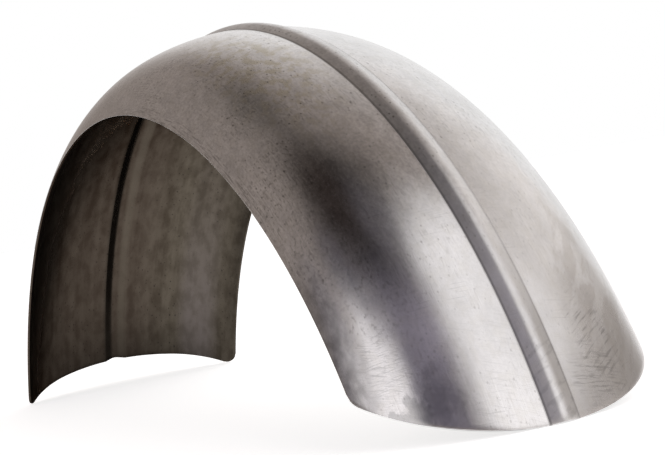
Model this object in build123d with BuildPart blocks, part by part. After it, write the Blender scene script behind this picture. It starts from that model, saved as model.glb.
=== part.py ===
"""Ribbed steel rear fender for a motorcycle: one pressed sheet, crowned across and curved round the wheel."""
import os
from math import acos, asin, atan, atan2, cos, degrees, hypot, radians, sin, sqrt

from build123d import *

# Sheet and its sweep round the wheel axle, in millimetres and degrees
sheet = 1.5
crown_radius = 350.0
crown_sweep = 137.4

# Cross section: crown arc, then a tighter shoulder arc down to the side edge
crown_arc_radius = 127.0
crown_arc_angle = 20.0
shoulder_radius = 79.0
edge_angle = 59.5

# Rib pressed outwards along the crown: flanks that are nearly straight, under a round crest
rib_width = 17.0
rib_height = 2.9
rib_crest_radius = 8.0
rib_flank_bow = 1.5
rib_root_radius = 1.0

# End cuts: the front is flat and leans, the tail is bowed
front_lean = 6.7
front_corner_radius = 10.0
tail_bulge = 47.3
tail_corner_radius = 14.0

# Cutters: how far they stand clear of the sheet, the points along the tail's line,
# and how far a corner circle passes the edges that it rounds
cutter_reach = 6.0
cutter_points = 15
corner_overlap = 0.2

# Fineness of the searches for the corner circles and for the standing pose
slope_step = 0.1
corner_passes = 30
outline_steps = 12
level_passes = 8

# Section and end curves worked out from the sizes above
front_angle = 180.0
tail_angle = front_angle - crown_sweep
spare_angle = degrees(cutter_reach / crown_radius)
crown_centre = Vector(0, crown_radius - crown_arc_radius)
crown_run = crown_arc_radius * radians(crown_arc_angle)
shoulder_offset = Vector(0, crown_arc_radius - shoulder_radius).rotate(Axis.Z, -crown_arc_angle)
shoulder_centre = crown_centre + shoulder_offset
shoulder_turn = edge_angle - crown_arc_angle
half_run = crown_run + shoulder_radius * radians(shoulder_turn)
rib_half = rib_width / 2
rib_lean = degrees(asin(rib_half / crown_arc_radius))
rib_root = Vector(rib_half, crown_centre.Y + crown_arc_radius * cos(radians(rib_lean)))
crest_centre = Vector(0, crown_radius + rib_height - rib_crest_radius)
crest_drop = rib_root - crest_centre
crest_reach = acos(rib_crest_radius / hypot(crest_drop.X, crest_drop.Y))
crest_turn = degrees(atan2(crest_drop.X, crest_drop.Y) - crest_reach) - rib_flank_bow
tail_arc_radius = (half_run**2 + tail_bulge**2) / (2 * tail_bulge)
tail_arc_angle = degrees(asin(half_run / tail_arc_radius) + cutter_reach / tail_arc_radius)


def wheel_direction(angle):
    """Direction away from the axle, at an angle in the wheel's plane."""
    return Vector(cos(radians(angle)), 0, sin(radians(angle)))


def section_plane(angle):
    """Plane through the axle: its X runs along the axle, its Y away from it."""
    across = Vector(0, 1, 0)
    return Plane((0, 0, 0), x_dir=across, z_dir=across.cross(wheel_direction(angle)))


def skin_point(run, lift):
    """Section point a given way round from the crown line, lifted square off the outer skin."""
    way = abs(run)
    if way <= crown_run:
        lean = degrees(way / crown_arc_radius)
        centre, radius = crown_centre, crown_arc_radius
    else:
        lean = crown_arc_angle + degrees((way - crown_run) / shoulder_radius)
        centre, radius = shoulder_centre, shoulder_radius
    point = centre + Vector(0, radius + lift).rotate(Axis.Z, -lean)
    return point if run >= 0 else Vector(-point.X, point.Y)


def front_line(run):
    """Angle of the flat front cut, a given way round from the crown line."""
    away = skin_point(run, -sheet / 2).Y
    return front_angle - front_lean + degrees(asin(crown_radius * sin(radians(front_lean)) / away))


def tail_line(run):
    """Angle of the bowed tail cut, a given way round from the crown line."""
    back = tail_arc_radius - sqrt(tail_arc_radius**2 - run**2)
    return tail_angle + degrees(back / crown_radius)


def tail_curve(lift):
    """Bowed tail line, at a height above the outer skin."""
    points = []
    for step in range(cutter_points):
        turn = radians(tail_arc_angle * (2 * step / (cutter_points - 1) - 1))
        run = tail_arc_radius * sin(turn)
        points.append(section_plane(tail_line(run)).from_local_coords(skin_point(run, lift)))
    return Edge.make_spline(points)


def corner_place(line, way, radius):
    """Run and angle of a circle that touches the side edge and an end line, and the turn between the two."""
    run = half_run - shoulder_radius * asin(radius / shoulder_radius)
    away = skin_point(run, -sheet / 2).Y
    low, high = 0, half_run
    for _ in range(corner_passes):
        foot = (low + high) / 2
        slope = radians(line(foot + slope_step) - line(foot - slope_step)) * away / (2 * slope_step)
        lean = atan(way * slope)
        low, high = (foot, high) if foot + radius * sin(lean) < run else (low, foot)
    angle = line(foot) - way * degrees(radius * cos(lean) / away)
    return run, angle, 90 + degrees(lean)


def level_turn(points):
    """Turn about the axle that brings the front corners and the tail tip to one level."""
    front = [point for point in points if point.X < 0]
    tail = [point for point in points if point.X > 0]
    turn = 0.0
    for _ in range(level_passes):
        heel = min(front, key=lambda point: point.Z * cos(turn) - point.X * sin(turn))
        toe = min(tail, key=lambda point: point.Z * cos(turn) - point.X * sin(turn))
        turn = atan2(toe.Z - heel.Z, toe.X - heel.X)
    return degrees(turn)


with BuildPart() as fender:
    # Section of the sheet, swept round the axle past both ends
    with BuildSketch(section_plane(tail_angle - spare_angle)):
        with BuildLine() as half_skin:
            crest = CenterArc(crest_centre, rib_crest_radius, 90, -crest_turn)
            flank = TangentArc(crest @ 1, rib_root, tangent=crest % 1)
            CenterArc(crown_centre, crown_arc_radius, 90 - rib_lean, rib_lean - crown_arc_angle)
            CenterArc(shoulder_centre, shoulder_radius, 90 - crown_arc_angle, -shoulder_turn)
            fillet(half_skin.vertices().sort_by_distance(flank @ 1)[0], rib_root_radius)
            offset(amount=sheet, side=Side.RIGHT)
        make_face()
        mirror(about=Plane.YZ)
    revolve(axis=Axis((0, 0, 0), (0, -1, 0)), revolution_arc=crown_sweep + spare_angle + front_lean)

    # Flat front cut, leaning so that the sides reach further than the crown
    front_normal = Vector(sin(radians(front_lean)), 0, cos(radians(front_lean)))
    split(bisect_by=Plane(wheel_direction(front_angle) * crown_radius, z_dir=front_normal))

    # Bowed tail cut, square to the sheet
    tail_cut = Face.make_surface_from_curves(tail_curve(cutter_reach), tail_curve(-sheet - cutter_reach))
    tail_way = wheel_direction(tail_angle - 90)
    extrude(tail_cut, amount=tail_arc_radius, dir=tail_way, mode=Mode.SUBTRACT)

    # Rounded corners, square to the sheet: what lies outside a circle at each of them is cut away
    ends = ((front_line, 1, front_corner_radius), (tail_line, -1, tail_corner_radius))
    for line, way, radius in ends:
        run, angle, turn = corner_place(line, way, radius - corner_overlap)
        dip = radians(crown_arc_angle) + (run - crown_run) / shoulder_radius
        width = 2 * radius
        tip = width * sin(radians(turn / 2)) / cos(radians(turn / 2))
        for side in (-1, 1):
            centre = section_plane(angle).from_local_coords(skin_point(side * run, -sheet / 2))
            edgeward = Vector(0, side, 0) * cos(dip) - wheel_direction(angle) * sin(dip)
            endward = wheel_direction(angle + 90 * way)
            with BuildSketch(Plane(centre, x_dir=edgeward, z_dir=edgeward.cross(endward))):
                side_point = Vector(width, 0).rotate(Axis.Z, turn)
                Polygon((0, 0), (width, 0), (width, tip), (side_point.X, side_point.Y), align=None)
                Circle(radius, mode=Mode.SUBTRACT)
            extrude(amount=cutter_reach, both=True, mode=Mode.SUBTRACT)

# Stood on a floor: front corners and tail tip level, origin under the middle of the arch
outline = [edge @ (step / outline_steps) for edge in fender.edges() for step in range(outline_steps + 1)]
standing = fender.part.rotate(Axis.Y, level_turn(outline))
box = standing.bounding_box()
standing = standing.translate((-box.center().X, 0, -box.min.Z))

os.makedirs("parts", exist_ok=True)
fender.part = standing
fender.part.label = "fender_shell"
export_step(fender.part, "parts/fender_shell.step")
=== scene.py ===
"""Looks of the ribbed rear fender: bare pressed steel on a pale studio floor."""

from math import acos, asin, atan, atan2, copysign, cos, degrees, radians, sin, sqrt, tan

import bmesh
import bpy
from mathutils import Euler, Matrix, Vector
from mathutils.geometry import intersect_sphere_sphere_2d


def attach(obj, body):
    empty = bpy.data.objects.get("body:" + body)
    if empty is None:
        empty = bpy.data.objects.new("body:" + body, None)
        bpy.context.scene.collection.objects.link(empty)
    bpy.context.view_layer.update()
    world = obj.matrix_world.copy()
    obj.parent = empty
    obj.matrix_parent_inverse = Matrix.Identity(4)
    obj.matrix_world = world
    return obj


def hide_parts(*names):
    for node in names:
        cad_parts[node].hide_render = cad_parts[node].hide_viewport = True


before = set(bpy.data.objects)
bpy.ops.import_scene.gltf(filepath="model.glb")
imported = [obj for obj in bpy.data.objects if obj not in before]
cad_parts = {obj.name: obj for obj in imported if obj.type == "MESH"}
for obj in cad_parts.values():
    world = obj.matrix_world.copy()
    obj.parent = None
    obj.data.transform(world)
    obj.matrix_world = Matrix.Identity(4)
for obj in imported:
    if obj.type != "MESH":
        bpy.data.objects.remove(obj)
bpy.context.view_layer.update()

MM = 0.001

# Sheet and its section, in millimetres and degrees, as the solid has them
sheet_thickness = 1.5
crown_radius = 350.0
crown_arc_radius = 127.0
crown_arc_angle = 20.0
shoulder_radius = 79.0
edge_angle = 59.5

# Rib: nearly straight flanks under a round crest
rib_width = 17.0
rib_height = 2.9
rib_crest_radius = 8.0
rib_flank_bow = 1.5
rib_root_radius = 1.0

# End cuts, and the corners as they meet the edges
crown_sweep = 137.4
front_lean = 6.7
front_corner_radius = 9.8
tail_bulge = 47.3
tail_corner_radius = 13.8

# Standing place of the wheel axle and how far the arch is turned about it
axle_x = -3.4964
axle_z = -118.0236
standing_turn = 22.83333
front_angle = 180.0 - standing_turn
tail_angle = front_angle - crown_sweep

# Fineness of the mesh: steps of each arc in the section and of the arch, and leans round the tail's corner
crest_steps = 5
flank_steps = 3
root_steps = 4
crown_steps = 9
shoulder_steps = 13
corner_leans = (15, 28, 38, 48, 57, 65, 72, 90)
arch_steps = 250
merge_gap = 0.001

# Cut rims: how far they are eased, in how many steps, and how sharp an edge is to count as one
rim_round = 0.2
rim_steps = 2
rim_sharpness = 60.0

# Search for the place where a corner leaves its end cut
corner_margin = 0.2
corner_passes = 30
slope_step = 0.1

# Inside and outside are told apart by how far a normal looks away from the axle, the sides counted more
side_weight = 1.6
inside_facing = -0.2

# Section worked out from the sizes: each place is its way out from the middle and its height over the axle
crown_centre = Vector((0, crown_radius - crown_arc_radius))
crown_run = crown_arc_radius * radians(crown_arc_angle)
crown_end = Vector((sin(radians(crown_arc_angle)), cos(radians(crown_arc_angle))))
shoulder_centre = crown_centre + crown_end * (crown_arc_radius - shoulder_radius)
half_run = crown_run + shoulder_radius * radians(edge_angle - crown_arc_angle)
rib_half = rib_width / 2
rib_foot = Vector((rib_half, crown_centre.y + sqrt(crown_arc_radius**2 - rib_half**2)))
crest_centre = Vector((0, crown_radius + rib_height - rib_crest_radius))
foot_way = rib_foot - crest_centre
foot_lean = atan2(foot_way.x, foot_way.y) - acos(rib_crest_radius / foot_way.length)
crest_turn = degrees(foot_lean) - rib_flank_bow
crest_end = Vector((sin(radians(crest_turn)), cos(radians(crest_turn))))
flank_way = rib_foot - crest_centre - crest_end * rib_crest_radius
flank_radius = -flank_way.length_squared / (2 * flank_way.dot(crest_end))
flank_centre = crest_centre + crest_end * (rib_crest_radius - flank_radius)
root_places = intersect_sphere_sphere_2d(flank_centre, flank_radius + rib_root_radius,
                                         crown_centre, crown_arc_radius + rib_root_radius)
root_centre = max(root_places, key=lambda place: place.x)
tail_arc_radius = (half_run**2 + tail_bulge**2) / (2 * tail_bulge)


def lean_from(centre, place):
    """Lean of the skin at a place, seen from the middle of its arc."""
    return degrees(atan2(place.x - centre.x, place.y - centre.y))


def section_place(out, up):
    """Point of the section with the arch's top upwards, in metres."""
    return Vector((axle_x, out, axle_z + up)) * MM


def run_at(place):
    """Way round the section from the crown line to a place on the skin, the rib taken as flat."""
    lean = lean_from(crown_centre, place)
    if lean <= crown_arc_angle:
        return crown_arc_radius * radians(lean)
    return crown_run + shoulder_radius * radians(lean_from(shoulder_centre, place) - crown_arc_angle)


def skin_reach(run):
    """Distance of the outer skin from the axle, a given way round from the crown line."""
    if run <= crown_run:
        return crown_centre.y + crown_arc_radius * cos(run / crown_arc_radius)
    lean = radians(crown_arc_angle) + (run - crown_run) / shoulder_radius
    return shoulder_centre.y + shoulder_radius * cos(lean)


def front_line(run):
    """Angle of the flat, leaning front cut."""
    foot = crown_radius * sin(radians(front_lean))
    return front_angle - front_lean + degrees(asin(foot / skin_reach(run)))


def tail_line(run):
    """Angle of the bowed tail cut."""
    back = tail_arc_radius - sqrt(tail_arc_radius**2 - run**2)
    return tail_angle + degrees(back / crown_radius)


def corner_run(radius):
    """Way round the section to the middle of a corner's round."""
    return half_run - shoulder_radius * asin(radius / shoulder_radius)


def end_shape(line, way, radius):
    """Angle of an end of the sheet by the way round, along its cut and round its corner."""
    middle_run = corner_run(radius)
    reach = skin_reach(middle_run)
    low, high = 0.0, half_run - corner_margin
    for _ in range(corner_passes):
        foot = (low + high) / 2
        slope = radians(line(foot + slope_step) - line(foot - slope_step)) * reach / (2 * slope_step)
        lean = atan(way * slope)
        low, high = (foot, high) if foot + radius * sin(lean) < middle_run else (low, foot)
    middle = line(foot) - way * degrees(radius * cos(lean) / reach)

    def angle(run):
        if run <= foot:
            return line(run)
        across = shoulder_radius * sin((run - middle_run) / shoulder_radius)
        return middle + way * degrees(sqrt(max(radius**2 - across**2, 0.0)) / reach)

    return angle


front_end = end_shape(front_line, 1, front_corner_radius)
tail_end = end_shape(tail_line, -1, tail_corner_radius)


def section_arcs():
    """Arcs of half the section from the rib's crest to the side edge: centre, turn and steps of each."""
    flank_end = lean_from(flank_centre, root_centre)
    crown_start = lean_from(crown_centre, root_centre)
    corner_way = corner_run(tail_corner_radius) - crown_run
    corner_start = crown_arc_angle + degrees(corner_way / shoulder_radius)
    arcs = [
        (crest_centre, crest_turn, crest_steps),
        (flank_centre, flank_end - crest_turn, flank_steps),
        (root_centre, crown_start - flank_end, root_steps),
        (crown_centre, crown_arc_angle - crown_start, crown_steps),
        (shoulder_centre, corner_start - crown_arc_angle, shoulder_steps),
    ]
    lean = corner_start
    for corner_lean in corner_leans:
        across = tail_corner_radius * sin(radians(corner_lean))
        target = corner_start + degrees(asin(across / shoulder_radius))
        arcs.append((shoulder_centre, target - lean, 1))
        lean = target
    return arcs


def newest(spun):
    """Last vertex that a spin has made."""
    return [part for part in spun["geom_last"] if isinstance(part, bmesh.types.BMVert)][0]


def draw_section(bm):
    """Whole section with the arch's top upwards, and each place's way round the sheet."""
    tip = bm.verts.new(section_place(0, crown_radius + rib_height))
    for centre, turn, steps in section_arcs():
        spun = bmesh.ops.spin(bm, geom=[tip], cent=section_place(*centre), axis=(-1, 0, 0),
                              angle=radians(turn), steps=steps)
        tip = newest(spun)
    run_layer = bm.verts.layers.float["run"]
    for vert in bm.verts:
        vert[run_layer] = run_at(Vector((vert.co.y / MM, vert.co.z / MM - axle_z)))
    half = bm.verts[:] + bm.edges[:]
    bmesh.ops.mirror(bm, geom=half, axis="Y", merge_dist=merge_gap * MM)
    for vert in bm.verts:
        vert[run_layer] = copysign(vert[run_layer], vert.co.y)


def spin_arch(bm, axle):
    """Section moved to the tail end and spun to the front end."""
    to_tail = Matrix.Rotation(radians(90 - tail_angle), 3, "Y")
    bmesh.ops.rotate(bm, verts=bm.verts[:], cent=axle, matrix=to_tail)
    bmesh.ops.spin(bm, geom=bm.verts[:] + bm.edges[:], cent=axle, axis=(0, -1, 0),
                   angle=radians(crown_sweep), steps=arch_steps)
    bmesh.ops.remove_doubles(bm, verts=bm.verts[:], dist=merge_gap * MM)


def draw_to_ends(bm, axle):
    """Each line along the sheet drawn out or in to the end cuts, and each place's way along the arch."""
    run_layer = bm.verts.layers.float["run"]
    arc_layer = bm.verts.layers.float["arc"]
    for vert in bm.verts:
        away = vert.co - axle
        flat_away = Vector((away.x, away.z))
        run = abs(vert[run_layer])
        angle = degrees(flat_away.angle_signed(Vector((1, 0))))
        share = (angle - tail_angle) / crown_sweep
        rib_lift = flat_away.length / MM - skin_reach(run)
        low = tail_end(run)
        high = front_end(run) - degrees(rib_lift * tan(radians(front_lean)) / crown_radius)
        place = low + (high - low) * share
        vert.co = axle + Matrix.Rotation(radians(angle - place), 3, "Y") @ away
        vert[arc_layer] = crown_radius * radians(place)


def thicken(bm):
    """Thickness inwards from the outer skin, then the cut rims eased."""
    bmesh.ops.recalc_face_normals(bm, faces=bm.faces[:])
    outer = bm.faces[:]
    crest = max(outer, key=lambda face: face.calc_center_median().z)
    if crest.normal.z < 0:
        bmesh.ops.reverse_faces(bm, faces=outer)
    bmesh.ops.solidify(bm, geom=outer, thickness=sheet_thickness * MM)
    rims = [edge for edge in bm.edges
            if edge.is_manifold and edge.calc_face_angle() > radians(rim_sharpness)]
    bmesh.ops.bevel(bm, geom=rims, offset=rim_round * MM, offset_type="OFFSET", segments=rim_steps,
                    profile=0.5, affect="EDGES", material=-1, clamp_overlap=True)
    bm.normal_update()


def mark_inside(bm, axle):
    """1 on the side of the sheet that faces the wheel, 0 on the rest."""
    inner_layer = bm.verts.layers.float["inner"]
    for vert in bm.verts:
        away = vert.co - axle
        outwards = Vector((away.x, vert.co.y * side_weight, away.z)).normalized()
        vert[inner_layer] = 1.0 if vert.normal.dot(outwards) < inside_facing else 0.0


def build_skin():
    """Sheet of the fender: a section spun round the axle, trimmed and given its thickness."""
    bm = bmesh.new()
    for name in ("run", "arc", "inner"):
        bm.verts.layers.float.new(name)
    axle = section_place(0, 0)
    draw_section(bm)
    spin_arch(bm, axle)
    draw_to_ends(bm, axle)
    thicken(bm)
    mark_inside(bm, axle)

    mesh = bpy.data.meshes.new("fender_skin")
    bm.to_mesh(mesh)
    bm.free()
    mesh.shade_smooth()
    skin = bpy.data.objects.new("fender_skin", mesh)
    bpy.context.scene.collection.objects.link(skin)
    return skin


def tone(level, red=1.0, green=1.0, blue=1.0):
    """Colour of a brightness and a tint."""
    return (level * red, level * green, level * blue, 1)


class Nodes:
    """Shader nodes of one material or of the world."""

    def __init__(self, tree):
        self.tree = tree

    def add(self, kind, **settings):
        """New node with its settings."""
        made = self.tree.nodes.new(kind)
        for name, value in settings.items():
            setattr(made, name, value)
        return made

    def feed(self, socket, value):
        """Gives a socket a link or a plain value."""
        if isinstance(value, bpy.types.NodeSocket):
            self.tree.links.new(value, socket)
        else:
            socket.default_value = value

    def figure(self, operation, *terms):
        """Sum, product or other figure of one to three terms."""
        made = self.add("ShaderNodeMath", operation=operation)
        for socket, term in zip(made.inputs, terms):
            self.feed(socket, term)
        return made.outputs[0]

    def both(self, *shares):
        """Product of shares."""
        total = shares[0]
        for share in shares[1:]:
            total = self.figure("MULTIPLY", total, share)
        return total

    def ease(self, value, low, high):
        """Smooth step from 0 at low to 1 at high."""
        made = self.add("ShaderNodeMapRange", interpolation_type="SMOOTHSTEP")
        self.feed(made.inputs["Value"], value)
        made.inputs["From Min"].default_value = low
        made.inputs["From Max"].default_value = high
        return made.outputs["Result"]

    def scale_to(self, value, low, high):
        """Value from 0 to 1 drawn out to a new range."""
        made = self.add("ShaderNodeMapRange", clamp=True)
        self.feed(made.inputs["Value"], value)
        made.inputs["To Min"].default_value = low
        made.inputs["To Max"].default_value = high
        return made.outputs["Result"]

    def lay(self, share, under, over):
        """One colour laid over another by a share."""
        made = self.add("ShaderNodeMix", data_type="RGBA")
        self.feed(made.inputs["Factor"], share)
        self.feed(made.inputs["A"], under)
        self.feed(made.inputs["B"], over)
        return made.outputs["Result"]

    def coated(self, colour, coats):
        """Colour under coats of a share, a strength and a colour each, the first one lowest."""
        for share, strength, coat in coats:
            colour = self.lay(self.both(share, strength), colour, coat)
        return colour

    def ray_shares(self):
        """1 for the camera's own rays, and 1 for those that come by way of metal or glass."""
        path = self.add("ShaderNodeLightPath").outputs
        mirrored = self.figure("MAXIMUM", path["Is Glossy Ray"], path["Is Transmission Ray"])
        return path["Is Camera Ray"], mirrored

    def close(self, shader, kind):
        """Joins a shader to the output."""
        self.feed(self.add(kind).inputs["Surface"], shader.outputs[0])


# Patterns on the steel: how far apart their draws lie, how far the inside's lie from the outside's,
# and how rough their finer detail is
draw_step = 13.0
inside_step = 47.0
detail_roughness = 0.55

# Wear of the sheet: the least share of pale steel, and what broad clouds and finer unevenness add to it
least_worn = 0.36
broad_wear = 0.28
fine_wear = 0.36

# Specks: the smallest and the solid core, as shares of the reach, and the softness of the draw
smallest_speck = 0.4
speck_core = 0.35
speck_fade = 0.1

# Ragged rims of spots, in millimetres along and across the sheet
rag_length = 9.0
rag_width = 6.0

# Heights of the sheet's slow waves and of its rolled grain, in millimetres
wave_height = 0.2
grain_height = 0.004


class SheetNodes(Nodes):
    """Nodes of the steel, laid out on the flat sheet in millimetres: arc along the arch, run across it."""

    def __init__(self, tree):
        super().__init__(tree)
        self.arc = self.kept("arc")
        self.run = self.kept("run")
        self.inner = self.kept("inner")
        self.outer = self.figure("SUBTRACT", 1.0, self.inner)

        # Stretches of the sheet: the far side is the right one, behind the rib
        from_rib = self.figure("ABSOLUTE", self.run)
        self.by_tail = self.ease(self.arc, 230.0, 140.0)
        self.by_far = self.ease(self.run, -6.0, 12.0)
        self.by_edge = self.ease(from_rib, 72.0, 92.0)
        self.by_rib = self.ease(from_rib, 9.6, 8.0)
        # Painted shade: a thin dark line along each foot of the rib
        self.painted_crease_shade = self.stripe(from_rib, 8.3, reach=1.1, core=0.3)

        # Patterns that several finishes share
        self.small = self.ease(self.cloud(11.0, 5.5, shift=12.4, detail=6.0), 0.3, 0.7)
        self.patchy = self.ease(self.cloud(48.0, 26.0, shift=3.3, detail=2.0), 0.42, 0.58)
        calm_tail = self.scale_to(self.ease(self.arc, 310.0, 200.0), 1.0, 0.3)
        self.calm = self.both(calm_tail, self.scale_to(self.by_far, 1.0, 0.6))

    def kept(self, name):
        """Figure kept on the mesh."""
        return self.add("ShaderNodeAttribute", attribute_name=name).outputs["Fac"]

    def place(self, length, width, shift=0.0, slant=0.0):
        """Place on the flat sheet in units of a pattern's length and width, with the pattern slanted."""
        along, across = self.arc, self.run
        if slant:
            turn = radians(slant)
            along = self.figure("MULTIPLY_ADD", self.arc, cos(turn), self.both(self.run, sin(turn)))
            across = self.figure("MULTIPLY_ADD", self.run, cos(turn), self.both(self.arc, -sin(turn)))
        moved = self.figure("MULTIPLY_ADD", self.inner, inside_step, draw_step * shift)
        made = self.add("ShaderNodeCombineXYZ")
        self.feed(made.inputs["X"], self.figure("MULTIPLY_ADD", along, 1 / length, moved))
        self.feed(made.inputs["Y"], self.figure("MULTIPLY", across, 1 / width))
        return made.outputs[0]

    def cloud(self, length, width, shift, detail=4.0, slant=0.0):
        """Uneven pattern with patches of a length and a width."""
        made = self.add("ShaderNodeTexNoise", noise_dimensions="2D")
        self.feed(made.inputs["Vector"], self.place(length, width, shift, slant))
        made.inputs["Scale"].default_value = 1.0
        made.inputs["Detail"].default_value = detail
        made.inputs["Roughness"].default_value = detail_roughness
        return made.outputs["Fac"]

    def streaks(self, length, width, shift, low, high, slant=0.0, detail=2.0):
        """Lines of a length and a width, where the uneven pattern is high."""
        return self.ease(self.cloud(length, width, shift, detail, slant), low, high)

    def specks(self, length, width, shift, reach, share):
        """Small spots, one at most in each cell of a length and a width, in a share of the cells."""
        made = self.add("ShaderNodeTexVoronoi", voronoi_dimensions="2D")
        self.feed(made.inputs["Vector"], self.place(length, width, shift))
        made.inputs["Scale"].default_value = 1.0
        parts = self.add("ShaderNodeSeparateColor")
        self.feed(parts.inputs[0], made.outputs["Color"])
        there = self.ease(parts.outputs[0], 1 - share, 1 - share + speck_fade)
        size = self.figure("MULTIPLY_ADD", parts.outputs[1], reach, reach * smallest_speck)
        near = self.figure("DIVIDE", made.outputs["Distance"], size)
        return self.figure("MULTIPLY", self.ease(near, 1.0, speck_core), there)

    def spot(self, arc, run, arc_reach, run_reach, ragged=0.0, soft=0.75):
        """Oval place on the outer side of the sheet, with a soft or ragged rim."""
        along = self.figure("DIVIDE", self.figure("SUBTRACT", self.arc, arc), arc_reach)
        across = self.figure("DIVIDE", self.figure("SUBTRACT", self.run, run), run_reach)
        off = self.figure("SQRT", self.figure("ADD", self.both(along, along), self.both(across, across)))
        if ragged:
            off = self.figure("MULTIPLY_ADD", self.cloud(rag_length, rag_width, shift=arc), ragged, off)
        rim = 1.0 + ragged / 2
        return self.both(self.ease(off, rim, rim - soft), self.outer)

    def stripe(self, value, middle, reach, core):
        """Stripe about a middle: 1 in its core, 0 past its reach."""
        return self.ease(self.figure("ABSOLUTE", self.figure("SUBTRACT", value, middle)), reach, core)


def cloudy_wear(sheet):
    """Share of pale steel: broad clouds, with finer unevenness that calms towards the tail."""
    broad = sheet.ease(sheet.cloud(55.0, 32.0, shift=4.1), 0.3, 0.7)
    grit = sheet.ease(sheet.cloud(2.6, 1.5, shift=17.1, detail=2.0), 0.3, 0.7)
    uneven = sheet.figure("SUBTRACT", sheet.figure("ADD", sheet.small, grit), 1.0)
    worn = sheet.figure("MULTIPLY_ADD", broad, broad_wear, least_worn)
    return sheet.figure("MULTIPLY_ADD", sheet.both(uneven, sheet.calm), fine_wear, worn)


def brown_stain(sheet):
    """Mottled stain, strong on the near side of the top and faint elsewhere."""
    mottled = sheet.ease(sheet.cloud(9.0, 6.0, shift=7.7, detail=6.0), 0.42, 0.64)
    by_top = sheet.spot(arc=416.0, run=-41.0, arc_reach=118.0, run_reach=36.0)
    return sheet.both(mottled, sheet.scale_to(by_top, 0.12, 1.0))


def pit_marks(sheet):
    """Small pits and a few larger ones, in patches, fewer by the tail and on the far side."""
    pits = sheet.figure("MAXIMUM", sheet.specks(7.0, 4.4, shift=0.5, reach=0.12, share=0.85),
                        sheet.specks(27.0, 16.0, shift=5.5, reach=0.036, share=0.6))
    fewer_by_tail = sheet.scale_to(sheet.ease(sheet.arc, 200.0, 320.0), 0.3, 1.0)
    fewer_on_far = sheet.scale_to(sheet.both(sheet.by_far, sheet.outer), 1.0, 0.6)
    return sheet.both(pits, fewer_by_tail, sheet.scale_to(sheet.patchy, 0.35, 1.0), fewer_on_far)


def sheet_coats(sheet, stain):
    """Coats of the whole sheet: stain, flecks, dashes along the grain, pale lines and crossing hairs."""
    flecks = sheet.both(sheet.ease(sheet.cloud(3.2, 1.9, shift=21.3, detail=3.0), 0.54, 0.72),
                        sheet.scale_to(sheet.patchy, 0.4, 1.0),
                        sheet.scale_to(sheet.ease(sheet.run, -34.0, -62.0), 0.08, 1.0),
                        sheet.scale_to(sheet.by_tail, 1.0, 0.35))
    dashes = sheet.both(sheet.streaks(7.0, 0.9, shift=6.9, low=0.58, high=0.7), sheet.patchy, sheet.calm)
    long_lines = sheet.both(sheet.streaks(170.0, 0.45, shift=6.2, low=0.6, high=0.7),
                            sheet.scale_to(sheet.by_edge, 0.3, 1.0), sheet.patchy)
    hairs = sheet.both(sheet.streaks(26.0, 0.5, shift=8.4, low=0.67, high=0.75, slant=96.0, detail=1.0),
                       sheet.streaks(36.0, 30.0, shift=9.9, low=0.54, high=0.64))
    return [
        (stain, 0.66, tone(0.47, 1.1, 1.0, 0.74)),
        (flecks, 0.6, tone(0.3, 1.04, 1.0, 0.97)),
        (dashes, 0.5, tone(0.3, 1.04, 1.0, 0.96)),
        (long_lines, 0.65, tone(0.92)),
        (hairs, 0.28, tone(0.24)),
    ]


def near_coats(sheet):
    """Coats of the near side: rubbing, scuffs and smudges by the tail, marks by the edge and a darker band
    along it by the tail.
    """
    rub = sheet.both(sheet.streaks(28.0, 0.6, shift=5.2, low=0.52, high=0.72, slant=116.0, detail=3.0),
                     sheet.by_tail, sheet.ease(sheet.run, -4.0, -14.0))
    crossed = sheet.figure(
        "MAXIMUM", sheet.streaks(10.0, 0.8, shift=2.6, low=0.49, high=0.7, slant=124.0, detail=5.0),
        sheet.streaks(8.0, 0.7, shift=12.9, low=0.5, high=0.7, slant=98.0, detail=5.0))
    scuff = sheet.both(crossed,
                       sheet.spot(arc=176.0, run=-76.0, arc_reach=28.0, run_reach=18.0, ragged=1.0))
    smudge = sheet.spot(arc=148.0, run=-56.0, arc_reach=22.0, run_reach=15.0, ragged=1.5, soft=0.9)
    bite = sheet.spot(arc=144.0, run=-70.0, arc_reach=13.0, run_reach=11.0, ragged=2.6, soft=0.45)
    edge_marks = sheet.both(sheet.streaks(17.0, 0.9, shift=29.3, low=0.5, high=0.66, detail=4.0),
                            sheet.ease(sheet.run, -90.0, -95.0), sheet.ease(sheet.arc, 270.0, 330.0),
                            sheet.ease(sheet.arc, 560.0, 470.0), sheet.outer)
    # Darker band along the near edge by the tail, uneven along its length
    darker_near_edge = sheet.both(sheet.ease(sheet.run, -81.0, -91.0), sheet.ease(sheet.arc, 280.0, 220.0),
                           sheet.scale_to(sheet.small, 1.0, 0.55), sheet.outer)
    return [
        (rub, 0.18, tone(0.36)),
        (scuff, 0.5, tone(0.3)),
        (smudge, 0.55, tone(0.24, 1.03, 1.0, 1.04)),
        (bite, 0.5, tone(0.26)),
        (edge_marks, 0.5, tone(0.14, 1.06, 1.0, 0.94)),
        (darker_near_edge, 0.85, tone(0.24, 1.04, 1.0, 1.0)),
    ]


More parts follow.
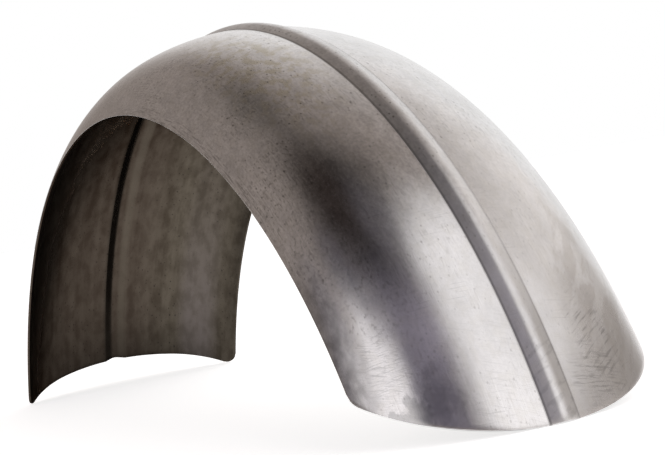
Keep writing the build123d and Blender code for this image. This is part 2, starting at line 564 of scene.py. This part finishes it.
def far_coats(sheet, dull_tail):
    """Coats of the far side, all by the tail: a dull place, smears, rubbing and hatching."""
    smear = sheet.both(sheet.streaks(40.0, 11.0, shift=19.7, low=0.44, high=0.58, slant=32.0, detail=4.0),
                       sheet.spot(arc=186.0, run=54.0, arc_reach=84.0, run_reach=34.0, ragged=0.6))
    rub = sheet.both(sheet.streaks(13.0, 1.5, shift=15.2, low=0.5, high=0.7, slant=58.0, detail=5.0),
                     sheet.spot(arc=158.0, run=38.0, arc_reach=36.0, run_reach=20.0, ragged=1.3))
    hatch = sheet.both(sheet.streaks(10.0, 1.3, shift=3.9, low=0.48, high=0.66, slant=100.0, detail=4.0),
                       sheet.spot(arc=140.0, run=30.0, arc_reach=24.0, run_reach=22.0, ragged=0.9))
    return [
        (dull_tail, 0.34, tone(0.42, 1.07, 1.0, 0.94)),
        (smear, 0.42, tone(0.36, 1.09, 1.0, 0.92)),
        (rub, 0.55, tone(0.22, 1.04, 1.0, 0.98)),
        (hatch, 0.5, tone(0.24, 1.04, 1.0, 0.98)),
    ]


def rib_coats(sheet):
    """Coats of the rib: scuffs by the tail, and painted shade in the creases at its feet, stronger on the
    near side.
    """
    scuff = sheet.both(sheet.streaks(10.0, 3.6, shift=24.6, low=0.5, high=0.66, slant=64.0, detail=5.0),
                       sheet.by_rib, sheet.ease(sheet.arc, 190.0, 150.0))
    return [
        (scuff, 0.24, tone(0.22)),
        (sheet.painted_crease_shade, sheet.scale_to(sheet.by_far, 0.5, 0.28), tone(0.14, 1.04, 1.0, 0.98)),
    ]


def inside_with_painted_shade(sheet, pits):
    """Wheel's side, the same steel painted dark brown as shade: streaks and blotches, pits, painted shade
    on the near half and in the rib's near groove, a painted highlight band, and a painted highlight in the
    far groove.
    """
    # Painted shade: the wheel's side given a dark brown far below the steel's own colour, streaked and
    # blotched
    streaky = sheet.ease(sheet.cloud(260.0, 9.0, shift=14.8, detail=3.0), 0.34, 0.66)
    blotchy = sheet.ease(sheet.cloud(16.0, 8.0, shift=2.2, detail=6.0), 0.32, 0.68)
    dull = sheet.figure("MULTIPLY_ADD", streaky, 0.4, sheet.both(blotchy, 0.6))
    brown = sheet.lay(dull, tone(0.06, 1.12, 1.0, 0.86), tone(0.115, 1.08, 1.0, 0.9))
    # Painted shade: the near half of the wheel's side darkened
    near_half_shade = sheet.ease(sheet.run, 48.0, 12.0)
    # Painted highlight: a pale band along the far side of the wheel's side, strongest by the front end
    painted_highlight_band = sheet.both(sheet.stripe(sheet.run, 66.0, reach=20.0, core=6.0),
                           sheet.scale_to(sheet.ease(sheet.arc, 790.0, 950.0), 0.15, 1.0),
                           sheet.scale_to(blotchy, 0.6, 1.0))
    # Painted shade on the near side of the rib's groove, and a painted highlight on its far side
    groove_near_shade = sheet.stripe(sheet.run, -6.0, reach=5.0, core=1.0)
    groove_far_highlight = sheet.stripe(sheet.run, 6.0, reach=4.0, core=1.0)
    return sheet.coated(brown, [
        (pits, 0.7, tone(0.02)),
        (near_half_shade, 0.34, tone(0.028, 1.6, 1.0, 0.95)),
        (painted_highlight_band, 0.9, tone(0.165, 1.06, 1.0, 1.07)),
        (groove_near_shade, 0.6, tone(0.012)),
        (groove_far_highlight, 0.5, tone(0.12, 1.08, 1.0, 0.9)),
    ])


def rolled_bump(sheet, grain):
    """Slow waves of the pressed sheet, with the fine rolled grain on them."""
    wave = sheet.add("ShaderNodeBump")
    wave.inputs["Strength"].default_value = 1.0
    wave.inputs["Distance"].default_value = wave_height * MM
    sheet.feed(wave.inputs["Height"], sheet.cloud(60.0, 34.0, shift=11.0, detail=2.0))
    fine = sheet.add("ShaderNodeBump")
    fine.inputs["Strength"].default_value = 1.0
    fine.inputs["Distance"].default_value = grain_height * MM
    sheet.feed(fine.inputs["Height"], grain)
    sheet.feed(fine.inputs["Normal"], wave.outputs["Normal"])
    return fine.outputs["Normal"]


def steel_finish():
    """Bare pressed steel: worn and marked outside, painted dark brown as shade inside."""
    steel = bpy.data.materials.new("bare_steel")
    steel.use_nodes = True
    shader = steel.node_tree.nodes["Principled BSDF"]
    sheet = SheetNodes(steel.node_tree)
    grain = sheet.cloud(90.0, 0.6, shift=1.3, detail=3.0)
    worn = cloudy_wear(sheet)
    stain = brown_stain(sheet)
    pits = pit_marks(sheet)
    dull_tail = sheet.spot(arc=136.0, run=54.0, arc_reach=84.0, run_reach=66.0, ragged=0.4)

    colour = sheet.lay(worn, tone(0.51, 1.02, 1.0, 1.0), tone(0.78, 1.02, 1.0, 1.0))
    coats = sheet_coats(sheet, stain) + near_coats(sheet) + far_coats(sheet, dull_tail) + rib_coats(sheet)
    coats.append((pits, 0.8, tone(0.12, 1.1, 1.0, 0.9)))
    # The wheel's side takes its painted shade colour in place of the outer coats
    colour = sheet.lay(sheet.inner, sheet.coated(colour, coats), inside_with_painted_shade(sheet, pits))

    rough = sheet.scale_to(worn, 0.165, 0.2)
    roughened = [
        (grain, 0.04),
        (stain, 0.07),
        (pits, 0.04),
        (dull_tail, 0.1),
        (sheet.both(sheet.by_rib, sheet.outer), 0.16),
        (sheet.inner, 0.08),
        (sheet.by_tail, -0.02),
    ]
    for share, amount in roughened:
        rough = sheet.figure("MULTIPLY_ADD", share, amount, rough)

    shader.inputs["Metallic"].default_value = 1.0
    sheet.feed(shader.inputs["Base Color"], colour)
    # Painted shade: reflections on the wheel's side dimmed by a dark tint
    sheet.feed(shader.inputs["Specular Tint"], sheet.lay(sheet.inner, tone(1.0), tone(0.1)))
    sheet.feed(shader.inputs["Roughness"], rough)
    sheet.feed(shader.inputs["Normal"], rolled_bump(sheet, grain))
    return steel


skin = build_skin()
skin.data.materials.append(steel_finish())
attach(skin, "root")
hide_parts("fender_shell")

# Stage, in metres: a wide floor, and just above it under the arch a glowing card that only the metal
# shows: painted shade by the front end, a painted reflection behind
floor_size = 12.0
floor_glow = 0.72
reflection_card_length = 0.54
reflection_card_width = 0.3
reflection_card_place = (-0.07, 0, 0.0004)
reflection_card_dark_end = -0.35
reflection_card_bright_from = -0.24


def empty_material(name):
    """New material without nodes."""
    material = bpy.data.materials.new(name)
    material.use_nodes = True
    material.node_tree.nodes.clear()
    return material


def flat_piece(name, length, width, place, material):
    """Level sheet of the stage."""
    bm = bmesh.new()
    bmesh.ops.create_grid(bm, x_segments=1, y_segments=1, size=0.5)
    bmesh.ops.scale(bm, vec=(length, width, 1), verts=bm.verts[:])
    bmesh.ops.translate(bm, vec=place, verts=bm.verts[:])
    mesh = bpy.data.meshes.new(name)
    bm.to_mesh(mesh)
    bm.free()
    mesh.materials.append(material)
    piece = bpy.data.objects.new(name, mesh)
    bpy.context.scene.collection.objects.link(piece)
    return piece


def lay_floor():
    """Pale floor: white to the camera and in the metal, with the fender's shadow on it."""
    pale = empty_material("pale_floor")
    nodes = Nodes(pale.node_tree)
    matt = nodes.add("ShaderNodeBsdfDiffuse")
    matt.inputs["Color"].default_value = tone(0.9)
    glow = nodes.add("ShaderNodeEmission")
    shown = nodes.figure("MAXIMUM", *nodes.ray_shares())
    nodes.feed(glow.inputs["Strength"], nodes.figure("MULTIPLY", shown, floor_glow))
    matt_and_glow = nodes.add("ShaderNodeAddShader")
    nodes.feed(matt_and_glow.inputs[0], matt.outputs[0])
    nodes.feed(matt_and_glow.inputs[1], glow.outputs[0])
    nodes.close(matt_and_glow, "ShaderNodeOutputMaterial")
    flat_piece("floor", floor_size, floor_size, (0, 0, 0), pale)


def lay_reflection_card():
    """Glowing brown card under the arch, which only the metal shows: painted shade by the front end, a
    painted reflection behind it.
    """
    brown = empty_material("painted_reflection_card")
    nodes = Nodes(brown.node_tree)
    glow = nodes.add("ShaderNodeEmission")
    glow.inputs["Color"].default_value = tone(1.0, 1.11, 1.0, 0.87)
    # Painted shade and painted reflection: the card's glow is weak by the front end and strong behind it
    split = nodes.add("ShaderNodeSeparateXYZ")
    nodes.feed(split.inputs[0], nodes.add("ShaderNodeTexCoord").outputs["Object"])
    bright = nodes.ease(split.outputs["X"], reflection_card_dark_end, reflection_card_bright_from)
    nodes.feed(glow.inputs["Strength"], nodes.scale_to(bright, 0.04, 0.95))
    nodes.close(glow, "ShaderNodeOutputMaterial")
    reflection_card = flat_piece("painted_reflection_card", reflection_card_length, reflection_card_width, reflection_card_place, brown)
    reflection_card.visible_camera = False
    reflection_card.visible_diffuse = False
    reflection_card.visible_transmission = False
    reflection_card.visible_shadow = False


lay_floor()
lay_reflection_card()


class StudioNodes(Nodes):
    """Nodes of the studio: heights, and ways round it from the near side past the tail, in degrees."""

    def __init__(self, tree):
        super().__init__(tree)
        self.way = self.add("ShaderNodeTexCoord").outputs["Generated"]
        split = self.add("ShaderNodeSeparateXYZ")
        self.feed(split.inputs[0], self.way)
        near = self.figure("MULTIPLY", split.outputs["Y"], -1.0)
        self.round_way = self.figure("DEGREES", self.figure("ARCTAN2", split.outputs["X"], near))
        self.height = self.figure("DEGREES", self.figure("ARCSINE", split.outputs["Z"]))

    def panel(self, middle, half, side_soft, low, high, soft):
        """Upright panel about a way, between two heights, with soft sides and soft ends."""
        off = self.figure("WRAP", self.figure("SUBTRACT", self.round_way, middle), 180.0, -180.0)
        across = self.ease(self.figure("ABSOLUTE", off), half + side_soft, half - side_soft)
        over_low = self.ease(self.height, low - soft, low + soft)
        under_high = self.ease(self.height, high + soft, high - soft)
        return self.both(across, self.both(over_low, under_high))

    def round_patch(self, middle, up, core, reach):
        """Round patch about a way and a height."""
        out = cos(radians(up))
        centre = (sin(radians(middle)) * out, -cos(radians(middle)) * out, sin(radians(up)))
        dot = self.add("ShaderNodeVectorMath", operation="DOT_PRODUCT")
        self.feed(dot.inputs[0], self.way)
        dot.inputs[1].default_value = centre
        off = self.figure("DEGREES", self.figure("ARCCOSINE", dot.outputs["Value"]))
        return self.ease(off, reach, core)


def light_studio():
    """Soft studio round the fender: white backdrop, softboxes and dark drapes, each by its direction."""
    world = bpy.data.worlds.new("studio")
    bpy.context.scene.world = world
    world.use_nodes = True
    world.node_tree.nodes.clear()
    nodes = StudioNodes(world.node_tree)
    panel = nodes.panel
    round_patch = nodes.round_patch

    # Pale wall on the far side, with the white backdrop in it, and the shades low down before it
    far_wall = panel(middle=190, half=62, side_soft=16, low=-60, high=53, soft=24)
    backdrop = panel(middle=229, half=18, side_soft=9, low=-40, high=36, soft=14)
    tail_shade = panel(middle=156, half=26, side_soft=9, low=-20, high=29, soft=9)
    far_shade = panel(middle=184, half=20, side_soft=10, low=-20, high=17, soft=8)
    tail_glow = panel(middle=148, half=15, side_soft=9, low=-20, high=17, soft=7)
    backdrop_foot = panel(middle=206, half=17, side_soft=9, low=-20, high=7, soft=6)

    # Large softbox behind the tail, brighter low down, with a dark upper corner
    softbox = panel(middle=118, half=34, side_soft=11, low=12, high=73, soft=9)
    softbox_foot = panel(middle=106, half=19, side_soft=6, low=8, high=40, soft=10)
    softbox_corner = round_patch(middle=62, up=74, core=4, reach=14)

    # Dark drapes on the near side and overhead
    front_drape = panel(middle=-72, half=18, side_soft=12, low=50, high=68, soft=8)
    near_drape = panel(middle=53, half=28, side_soft=14, low=10, high=60, soft=12)
    drape_top = panel(middle=54, half=26, side_soft=12, low=45, high=62, soft=7)
    ceiling_drape = round_patch(middle=22, up=71, core=9, reach=34)
    ceiling_core = round_patch(middle=4, up=69, core=5, reach=19)

    # Window on the near side, low and stepped, with its haze and the drape over it
    window_haze = panel(middle=24, half=13, side_soft=6, low=20, high=47, soft=6)
    window_drape = panel(middle=8, half=13, side_soft=6, low=40, high=53, soft=4)
    window_side = panel(middle=-5, half=9, side_soft=5, low=10, high=37, soft=6)
    window = nodes.figure("MAXIMUM", panel(middle=22, half=14, side_soft=4, low=-30, high=40, soft=6),
                          panel(middle=8, half=12, side_soft=3, low=-30, high=28, soft=7))

    view = tone(0.26, 1.165, 1.0, 0.905)
    layers = [
        (far_wall, tone(0.96, 1.045, 1.0, 0.97)),
        (backdrop, tone(1.15, 1.01, 1.0, 1.0)),
        (front_drape, tone(0.1, 1.15, 1.0, 0.88)),
        (near_drape, tone(0.17, 1.1, 1.0, 1.24)),
        (drape_top, tone(0.37, 1.1, 1.0, 1.2)),
        (ceiling_drape, tone(0.0)),
        (ceiling_core, tone(0.016, 1.5, 1.0, 0.8)),
        (softbox, tone(1.13, 1.02, 1.0, 1.0)),
        (softbox_foot, tone(1.28, 1.02, 1.0, 1.0)),
        (softbox_corner, tone(0.1, 1.1, 1.0, 1.1)),
        (tail_shade, tone(0.46, 1.08, 1.0, 0.95)),
        (far_shade, tone(0.38, 1.09, 1.0, 0.94)),
        (tail_glow, tone(0.66, 1.08, 1.0, 0.95)),
        (backdrop_foot, tone(0.46, 1.07, 1.0, 0.97)),
        (window_haze, tone(0.42, 1.06, 1.0, 1.08)),
        (window_drape, tone(0.08, 1.1, 1.0, 1.22)),
        (window_side, tone(0.24, 1.09, 1.0, 1.09)),
        (window, tone(1.26, 1.03, 1.0, 1.01)),
    ]
    for share, light_tone in layers:
        view = nodes.lay(share, view, light_tone)

    # White to the camera, and in the metal where the backdrop is
    camera_share, mirror_share = nodes.ray_shares()
    white_share = nodes.figure("MAXIMUM", camera_share, nodes.both(mirror_share, backdrop))
    light = nodes.add("ShaderNodeBackground")
    nodes.feed(light.inputs["Color"], nodes.lay(white_share, view, tone(1.0)))
    nodes.close(light, "ShaderNodeOutputWorld")


light_studio()

# Camera at the photograph's place, in millimetres and degrees, for a picture of 665 by 455:
# the dip is how far it looks down
camera_place = Vector((1120.804, -479.743, 141.953))
camera_azimuth = 64.7116
camera_dip = 1.9527
camera_roll = -9.6249
camera_lens = 105.395
camera_sensor = 36.0

camera_data = bpy.data.cameras.new("camera")
camera_data.lens = camera_lens
camera_data.sensor_width = camera_sensor
camera = bpy.data.objects.new("camera", camera_data)
camera.location = camera_place * MM
camera_aim = Euler((radians(90 - camera_dip), 0, radians(camera_azimuth))).to_matrix()
camera.rotation_euler = (camera_aim @ Matrix.Rotation(radians(camera_roll), 3, "Z")).to_euler()
bpy.context.scene.collection.objects.link(camera)
bpy.context.scene.camera = camera

bpy.context.scene.view_settings.view_transform = "Standard"
